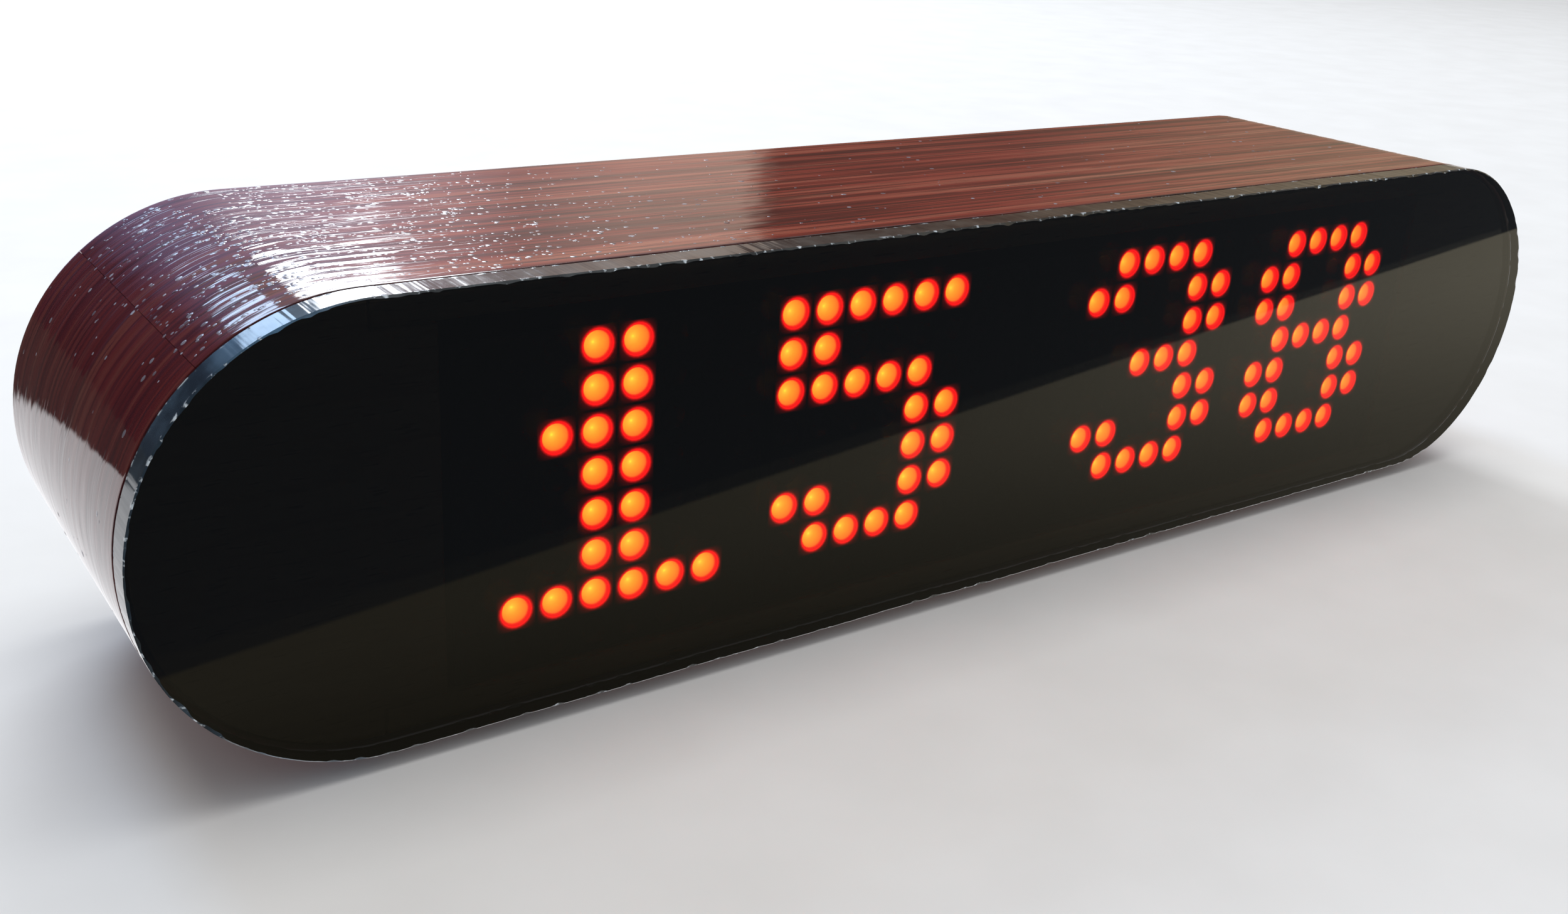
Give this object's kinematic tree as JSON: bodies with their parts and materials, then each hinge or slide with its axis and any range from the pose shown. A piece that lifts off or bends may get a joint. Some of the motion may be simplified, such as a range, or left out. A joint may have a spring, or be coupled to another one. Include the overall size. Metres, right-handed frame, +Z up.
{
  "type": "alarm clock",
  "caption": "Desk alarm clock: long veneered wooden bar with round ends, smoked front panel over an LED dot display, and a screwed rear cover with buttons, alarm switch and power inlet.",
  "frame": {"origin": "on the table, under the middle of the clock's overall box", "axes": "+X along the clock, to the right as seen from the front; the front faces -Y; +Z up"},
  "size_m": [0.185, 0.04, 0.0425],
  "materials": {
    "veneer": "dark red-brown striped veneer under thick gloss lacquer",
    "core_wood": "bare light wood, satin",
    "smoked_acrylic": "near-black smoked acrylic, polished",
    "cover_acrylic": "black acrylic, lightly worn gloss",
    "rubber": "matt black",
    "steel": "zinc-plated, satin",
    "nylon": "natural nylon",
    "module_epoxy": "black epoxy",
    "led_light": "lit red-orange diodes",
    "led_dark": "unlit diodes",
    "chip_plastic": "moulded black",
    "circuit_board": "green solder resist",
    "nickel": "nickel plate",
    "capacitor_sleeve": "dark blue sleeve",
    "switch_plastic": "dark grey moulding",
    "button_plastic": "satin black moulding",
    "brass": "turned brass",
    "red_lead": "red wire cover",
    "black_lead": "black wire cover",
    "grey_ribbon": "grey flat cable"
  },
  "bodies": {
    "clock_body": {"veneer_wrap": "veneer", "core_board_top": "core_wood", "core_board_bottom": "core_wood", "end_block_left": "core_wood", "end_block_right": "core_wood", "front_panel": "smoked_acrylic", "rear_cover": "cover_acrylic", "foot_front_left": "rubber", "foot_front_right": "rubber", "foot_rear_left": "rubber", "foot_rear_right": "rubber", "cover_screw_1": "steel", "cover_screw_2": "steel", "cover_screw_3": "steel", "cover_screw_4": "steel", "board_screw_1": "steel", "board_screw_2": "steel", "board_screw_3": "steel", "board_screw_4": "steel", "display_screw_left": "steel", "display_screw_right": "steel", "alarm_switch_body": "steel", "board_support_1": "nylon", "board_support_2": "nylon", "board_support_3": "nylon", "board_support_4": "nylon", "led_module_1": "module_epoxy", "led_module_2": "module_epoxy", "led_module_3": "module_epoxy", "led_module_4": "module_epoxy", "driver_chip_1": "chip_plastic", "driver_chip_2": "chip_plastic", "driver_chip_3": "chip_plastic", "driver_chip_4": "chip_plastic", "processor": "chip_plastic", "clock_chip": "chip_plastic", "display_header": "chip_plastic", "control_header": "chip_plastic", "buzzer": "chip_plastic", "coin_cell_holder": "chip_plastic", "display_board": "circuit_board", "control_board": "circuit_board", "crystal": "nickel", "coin_cell": "nickel", "inlet_nut": "nickel", "filter_capacitor": "capacitor_sleeve", "switch_body_set": "switch_plastic", "switch_body_minus": "switch_plastic", "switch_body_plus": "switch_plastic", "switch_body_snooze": "switch_plastic", "inlet_barrel": "button_plastic", "inlet_pin": "brass", "inlet_lead_red": "red_lead", "inlet_lead_black": "black_lead", "ribbon_cable": "grey_ribbon"},
    "set_button": {"button_set": "button_plastic"},
    "minus_button": {"button_minus": "button_plastic"},
    "plus_button": {"button_plus": "button_plastic"},
    "snooze_button": {"button_snooze": "button_plastic"},
    "alarm_knob": {"alarm_switch_knob": "button_plastic"}
  },
  "joints": [
    {"name": "press_set", "type": "slide", "parent": "clock_body", "child": "set_button", "axis": [0, -1, 0], "range_m": [0, 0.0008], "stiffness_N_per_m": 1500},
    {"name": "press_minus", "type": "slide", "parent": "clock_body", "child": "minus_button", "axis": [0, -1, 0], "range_m": [0, 0.0008], "stiffness_N_per_m": 1500},
    {"name": "press_plus", "type": "slide", "parent": "clock_body", "child": "plus_button", "axis": [0, -1, 0], "range_m": [0, 0.0008], "stiffness_N_per_m": 1500},
    {"name": "press_snooze", "type": "slide", "parent": "clock_body", "child": "snooze_button", "axis": [0, -1, 0], "range_m": [0, 0.0008], "stiffness_N_per_m": 1500},
    {"name": "slide_alarm_knob", "type": "slide", "parent": "clock_body", "child": "alarm_knob", "axis": [1, 0, 0], "range_m": [0, 0.002]}
  ]
}
